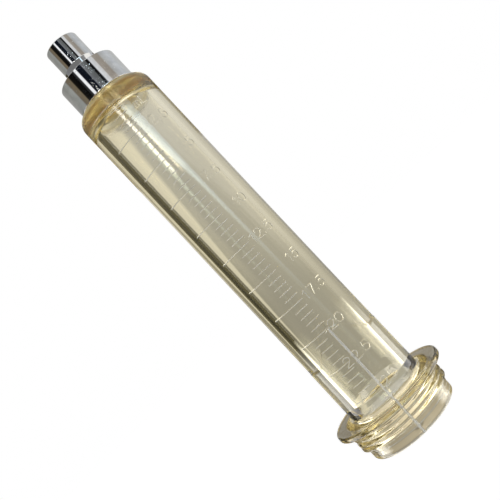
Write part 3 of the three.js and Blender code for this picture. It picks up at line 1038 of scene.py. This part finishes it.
def world():
    """A pale studio round the object: a soft beige backdrop, one tall cool window and its
    narrow continuation at the front left, dark screens beside the camera for the plating,
    and light from above and below. The camera itself sees plain white."""
    w = bpy.data.worlds.new("studio")
    scene.world = w
    w.use_nodes = True
    nt = w.node_tree
    nt.nodes.clear()
    out = node(nt, "ShaderNodeOutputWorld")
    bg = node(nt, "ShaderNodeBackground")
    tc = node(nt, "ShaderNodeTexCoord")
    sep = node(nt, "ShaderNodeSeparateXYZ")
    nt.links.new(tc.outputs["Generated"], sep.inputs[0])
    x = math_node(nt, "MULTIPLY", sep.outputs["X"], -1.0)
    y = math_node(nt, "MULTIPLY", sep.outputs["Y"], -1.0)
    psi = math_node(nt, "ARCTAN2", x, y)
    psi = math_node(nt, "MULTIPLY", psi, 180.0 / PI)      # degrees: 0 at -Y, + towards -X
    sz = sep.outputs["Z"]
    fac = math_node(nt, "ADD", math_node(nt, "MULTIPLY", psi, 1 / 360.0), 0.5)

    def curve(xs_ys, source=None):
        """Piecewise linear function of the height of the direction."""
        x0, x1 = xs_ys[0][0], xs_ys[-1][0]
        y0 = min(v for _, v in xs_ys)
        y1 = max(v for _, v in xs_ys)
        span = (y1 - y0) or 1.0
        t = map_range(nt, source if source is not None else sz, x0, x1, 0.0, 1.0, "LINEAR")
        c = ramp(nt, t, [((a - x0) / (x1 - x0), ((b - y0) / span,) * 3) for a, b in xs_ys])
        r = nt.nodes.new("ShaderNodeSeparateColor")
        nt.links.new(c, r.inputs[0])
        return math_node(nt, "ADD", math_node(nt, "MULTIPLY", r.outputs[0], span), y0)

    def edge(v, at, soft):
        """0 below `at`, 1 above it, over a width of 2 * soft."""
        d = math_node(nt, "SUBTRACT", v, at)
        return math_node(nt, "ADD", math_node(nt, "MULTIPLY", d, 0.5 / soft), 0.5, clamp=True)

    def both(a, b):
        return math_node(nt, "MULTIPLY", a, b)

    def band(v, lo, hi, soft):
        return both(edge(v, lo, soft), math_node(nt, "SUBTRACT", 1.0, edge(v, hi, soft)))

    def stops(table):
        return [((a + 180.0) / 360.0, c) for a, c in table]

    def blend(a, b, f, kind="MIX"):
        m = node(nt, "ShaderNodeMix", data_type="RGBA", blend_type=kind)
        m.clamp_factor = False
        for sock, val in ((m.inputs["Factor"], f), (m.inputs[6], a), (m.inputs[7], b)):
            if isinstance(val, (int, float)):
                sock.default_value = val
            elif isinstance(val, tuple):
                sock.default_value = (*val, 1)
            else:
                nt.links.new(val, sock)
        return m.outputs[2]

    g = lambda k: (k, k, k)
    # what the plating mirrors
    plating = ramp(nt, fac, stops([
        (-180, (0.80, 0.80, 0.78)), (-150, (0.62, 0.62, 0.60)), (-110, (0.72, 0.74, 0.76)), (-84, (0.60, 0.60, 0.58)),
        (-76, (0.42, 0.37, 0.31)), (-55, (0.48, 0.43, 0.37)), (-52, (0.85, 0.84, 0.82)), (-38, (0.95, 0.96, 0.97)),
        (-35, g(0.008)), (-27, g(0.008)), (-25, (0.15, 0.16, 0.155)), (-10, (0.2, 0.21, 0.215)), (-5, (0.30, 0.31, 0.33)),
        (-3, (0.008, 0.012, 0.02)), (17, (0.006, 0.008, 0.014)), (19.5, g(1.35)), (27.5, g(1.35)), (29.5, g(0.05)),
        (36, g(0.03)), (38, g(0.005)), (57, (0.012, 0.01, 0.008)), (61, (0.24, 0.19, 0.12)), (78, (0.22, 0.18, 0.13)),
        (84, (0.42, 0.43, 0.40)), (110, (0.36, 0.36, 0.33)), (150, (0.42, 0.41, 0.39)), (180, (0.80, 0.80, 0.78)),
    ]))
    # what the clear wall mirrors and shows through it
    level = curve([(-0.8, 1.0), (-0.5, 0.72), (-0.36, 0.60), (-0.298, 0.54), (-0.275, 0.27), (-0.245, 0.27), (-0.225, 0.40), (-0.14, 0.40), (-0.05, 0.42), (0.03, 0.47), (0.12, 0.51), (0.2, 0.52), (0.29, 0.57), (0.36, 0.60), (0.48, 0.36), (0.62, 0.36), (0.72, 0.40), (0.8, 0.42)])
    tint = blend((1.0, 0.985, 0.96), (1.0, 1.01, 1.07), edge(sz, 0.15, 0.10))
    tint = blend(tint, (1.0, 0.88, 0.66), math_node(nt, "SUBTRACT", 1.0, edge(sz, -0.235, 0.012)))
    tint = blend(tint, (1.0, 0.90, 0.66), edge(sz, 0.62, 0.04))
    side = ramp(nt, fac, stops([
        (-180, g(1.0)), (-172, g(1.0)), (-160, g(1.12)), (-140, g(1.35)), (-118, g(1.35)), (-100, g(1.1)), (-70, g(0.8)), (-30, g(0.55)),
        (30, g(0.5)), (80, g(0.5)), (105, g(0.6)), (150, g(0.7)), (166, g(0.88)), (174, g(0.86)), (180, g(1.0)),
    ]))
    lv = node(nt, "ShaderNodeCombineColor")
    for i in range(3):
        nt.links.new(level, lv.inputs[i])
    room = blend(blend(tint, lv.outputs[0], 1.0, "MULTIPLY"), side, 1.0, "MULTIPLY")
    # cream panel at the back left, wider towards the nozzle
    cream_to = curve([(-0.30, 150.5), (-0.143, 152.0), (-0.05, 156.0), (0.03, 160.0), (0.12, 165.0), (0.29, 171.0)])
    room = blend(room, (0.80, 0.78, 0.74), both(band(psi, 148.0, cream_to, 1.6), edge(sz, -0.19, 0.05)))
    # dark screen beside it
    dark = both(band(psi, 113.0, 147.5, 2.0), edge(sz, -0.165, 0.02))
    room = blend(room, (0.112, 0.102, 0.056), dark)
    core = both(band(psi, 124.5, 140.0, 2.0), band(sz, -0.13, 0.30, 0.05))
    room = blend(room, (0.022, 0.019, 0.002), core)
    # bright wall at the far right of the camera
    wedge = curve([(-0.30, -70.0), (0.03, -66.0), (0.12, -60.0), (0.20, -38.0), (0.33, -36.0)])
    room = blend(room, (1.25, 1.22, 1.15), both(band(psi, -112.0, wedge, 2.0), edge(sz, 0.01, 0.05)))
    # the window, narrowing downwards
    inner = curve([(-0.25, -37.0), (-0.15, -35.0), (0.05, -28.5), (0.15, -23.0), (0.21, -14.0), (0.29, -6.0), (0.34, -4.5)])
    outer = curve([(-0.25, -43.0), (-0.15, -42.0), (0.05, -35.0), (0.13, -32.0), (0.21, -33.0), (0.34, -33.0)])
    power = curve([(-0.25, 0.25), (-0.15, 0.35), (-0.05, 0.6), (0.05, 1.6), (0.13, 3.0), (0.19, 3.4), (0.22, 3.6), (0.318, 3.6), (0.326, 0.0)])
    pane = both(band(psi, outer, inner, 1.4), power)
    room = blend(room, (0.78, 1.0, 1.12), pane, "ADD")
    hot_to = math_node(nt, "SUBTRACT", inner, 13.0)
    room = blend(room, (2.6, 2.5, 2.2), both(band(psi, hot_to, inner, 1.6), band(sz, 0.195, 0.32, 0.008)), "ADD")
    room = blend(room, (9.0, 8.8, 8.2), both(band(psi, 3.5, 12.5, 0.8), band(sz, 0.196, 0.326, 0.006)), "ADD")
    # light from below the front
    front = math_node(nt, "SUBTRACT", 1.0, edge(math_node(nt, "ABSOLUTE", psi), 105.0, 10.0))
    low = both(both(math_node(nt, "SUBTRACT", 1.0, edge(sz, -0.50, 0.06)), front), 0.5)
    room = blend(room, (1.0, 1.0, 1.0), low, "ADD")
    wings = both(both(band(math_node(nt, "ABSOLUTE", psi), 86.0, 124.0, 4.0), math_node(nt, "SUBTRACT", 1.0, edge(sz, -0.13, 0.03))), 3.0)
    room = blend(room, (1.0, 1.0, 1.0), wings, "ADD")

    lp = node(nt, "ShaderNodeLightPath")
    high = both(edge(sz, 0.329, 0.004), math_node(nt, "SUBTRACT", 1.0, lp.outputs["Is Transmission Ray"]))
    # behind the object, a brown board that the flange's upper face mirrors
    solid = math_node(nt, "SUBTRACT", 1.0, lp.outputs["Is Transmission Ray"])
    board = both(both(edge(math_node(nt, "ABSOLUTE", psi), 138.0, 6.0), band(sz, 0.21, 0.322, 0.006)), solid)
    room = blend(room, (0.11, 0.08, 0.04), board)
    seen = blend(room, plating, high)
    final = blend(seen, (1.0, 1.0, 1.0), lp.outputs["Is Camera Ray"])
    nt.links.new(final, bg.inputs["Color"])
    bg.inputs["Strength"].default_value = 1.0
    nt.links.new(bg.outputs[0], out.inputs["Surface"])


world()


def area(name, loc, target, size, power, color=(1, 1, 1), size_y=None):
    d = bpy.data.lights.new(name, "AREA")
    d.energy = power
    d.color = color
    d.shape = "RECTANGLE"
    d.size = size
    d.size_y = size_y or size
    o = bpy.data.objects.new(name, d)
    o.location = loc
    o.rotation_euler = (Vector(target) - Vector(loc)).to_track_quat("-Z", "Y").to_euler()
    scene.collection.objects.link(o)
    return o


MID = (0, 0, 0.07)
area("overhead", (0.0, 0.15, 1.1), MID, 0.9, 1.6)

# ------------------------------------------------------------------------------ camera
# The picture is 500 wide: the axis runs through (cx, cy) at 46.85 degrees below the
# horizontal, the nozzle at top left. u counts along it towards the mouth.
PX = 0.0002785                       # metres to a 500th of the picture, at the axis
DIST = 690.0                         # camera to axis, same units
FOOT_U, FOOT_V = 30.0, -30.0         # where the camera looks square on to the axis
MOUTH_U = 236.9                      # the mouth ring's centre
AXIS_V = 0.5
ang = math.radians(46.85)
cx, cy = 251.97, 248.15
du = (math.cos(ang), math.sin(ang))
dv = (-math.sin(ang), math.cos(ang))
foot_x = cx + FOOT_U * du[0] + FOOT_V * dv[0]
foot_y = cy + FOOT_U * du[1] + FOOT_V * dv[1]
cam_data = bpy.data.cameras.new("camera")
cam = bpy.data.objects.new("camera", cam_data)
scene.collection.objects.link(cam)
cam_data.sensor_width = 36.0
cam_data.lens = 36.0 * DIST / 500
cam_data.clip_start = 0.01
cam_data.shift_x = (250.0 - foot_x) / 500
cam_data.shift_y = (foot_y - 250.0) / 500
# +u is -Z and +v is -X
right = Vector((-dv[0], 0, -du[0]))
up = Vector((dv[1], 0, du[1]))
cam.matrix_world = Matrix((
    (right.x, up.x, 0.0, (AXIS_V - FOOT_V) * PX),
    (right.y, up.y, -1.0, -DIST * PX),
    (right.z, up.z, 0.0, (MOUTH_U - FOOT_U) * PX),
    (0, 0, 0, 1),
))
scene.camera = cam

scene.view_settings.view_transform = "Standard"
scene.view_settings.look = "None"
scene.view_settings.exposure = 0.0
scene.view_settings.gamma = 1.0
scene.cycles.max_bounces = 40
scene.cycles.transmission_bounces = 36
scene.cycles.transparent_max_bounces = 24
scene.cycles.glossy_bounces = 10
scene.cycles.diffuse_bounces = 4
scene.cycles.caustics_reflective = True
scene.cycles.caustics_refractive = True
scene.cycles.sample_clamp_indirect = 8.0
scene.cycles.blur_glossy = 0.2
